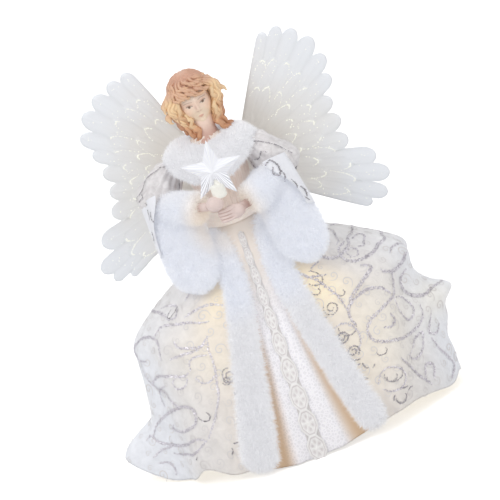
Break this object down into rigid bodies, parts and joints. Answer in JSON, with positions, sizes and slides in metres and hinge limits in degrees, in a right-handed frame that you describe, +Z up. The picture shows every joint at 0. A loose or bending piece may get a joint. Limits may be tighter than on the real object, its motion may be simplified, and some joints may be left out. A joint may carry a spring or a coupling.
{
  "type": "angel tree topper",
  "caption": "Doll angel tree topper with hinged feather wings, fur-trimmed sheer skirt on a lit hollow bell, a glowing star in its hands and a battery base.",
  "frame": {"origin": "middle of the base plate's underside, at the mouth of the tube that slips over the tree's leading shoot", "axes": "+Z up along the figure, the angel faces -Y, +X is her own left"},
  "size_m": [0.2709, 0.1934, 0.3022],
  "materials": {
    "plastic_white": "satin moulded",
    "plastic_pearl": "pearl, slightly translucent, with glitter lines",
    "resin_head": "painted cast resin: peach skin, copper and golden hair",
    "resin_skin": "painted cast resin",
    "fur": "long-pile white faux fur",
    "organza": "sheer white organza with printed silver scrolls",
    "satin": "white satin",
    "lace": "lace ribbon",
    "silver_cloth": "sheer silver cloth",
    "beige_cloth": "pleated beige cloth",
    "glow": "frosted lamp, lit",
    "steel": "plain",
    "cell_jacket": "plain printed jacket",
    "switch_black": "plain"
  },
  "bodies": {
    "figure": {"base_plate": "plastic_white", "leader_tube": "plastic_white", "skirt_former": "plastic_white", "lamp_lead": "plastic_white", "battery_tray": "plastic_white", "battery_cell_1": "cell_jacket", "battery_cell_2": "cell_jacket", "contact_bridge": "steel", "contact_negative": "steel", "contact_positive": "steel", "door_pin": "steel", "switch_body": "switch_black", "torso": "plastic_white", "bodice": "beige_cloth", "sash": "satin", "head": "resin_head", "collar": "fur", "arm_wire": "steel", "forearm_left": "resin_skin", "sleeve_left": "silver_cloth", "cuff_left": "fur", "forearm_right": "resin_skin", "sleeve_right": "silver_cloth", "cuff_right": "fur", "candle": "glow", "star_lamp": "glow", "star_front": "glow", "star_back": "glow", "star_lead": "plastic_white", "overskirt": "organza", "front_panel": "satin", "lace_ribbon": "lace", "trim_left": "fur", "trim_right": "fur", "wing_bracket": "plastic_white", "wing_pin_left": "steel", "wing_pin_right": "steel", "wing_screw_upper": "steel", "wing_screw_lower": "steel", "skirt_lamp_1": "glow", "skirt_lamp_2": "glow", "skirt_lamp_3": "glow", "skirt_lamp_4": "glow", "skirt_lamp_5": "glow", "skirt_lamp_6": "glow", "skirt_lamp_7": "glow", "skirt_lamp_8": "glow"},
    "left_wing": {"wing_left": "plastic_pearl"},
    "right_wing": {"wing_right": "plastic_pearl"},
    "door": {"battery_door": "plastic_white"},
    "knob": {"switch_knob": "switch_black"}
  },
  "joints": [
    {"name": "wing_left_fold", "type": "hinge", "parent": "figure", "child": "left_wing", "pos_m": [0.009, 0.031, 0.205], "axis": [0, 0.1392, 0.9903], "range_deg": [-5, 60]},
    {"name": "wing_right_fold", "type": "hinge", "parent": "figure", "child": "right_wing", "pos_m": [-0.009, 0.031, 0.205], "axis": [0, -0.1392, -0.9903], "range_deg": [-5, 60]},
    {"name": "battery_door_hinge", "type": "hinge", "parent": "figure", "child": "door", "pos_m": [0, 0.0515, 0.0016], "axis": [1, 0, 0], "range_deg": [0, 95]},
    {"name": "switch_slide", "type": "slide", "parent": "figure", "child": "knob", "axis": [-1, 0, 0], "range_m": [0, 0.004]}
  ]
}
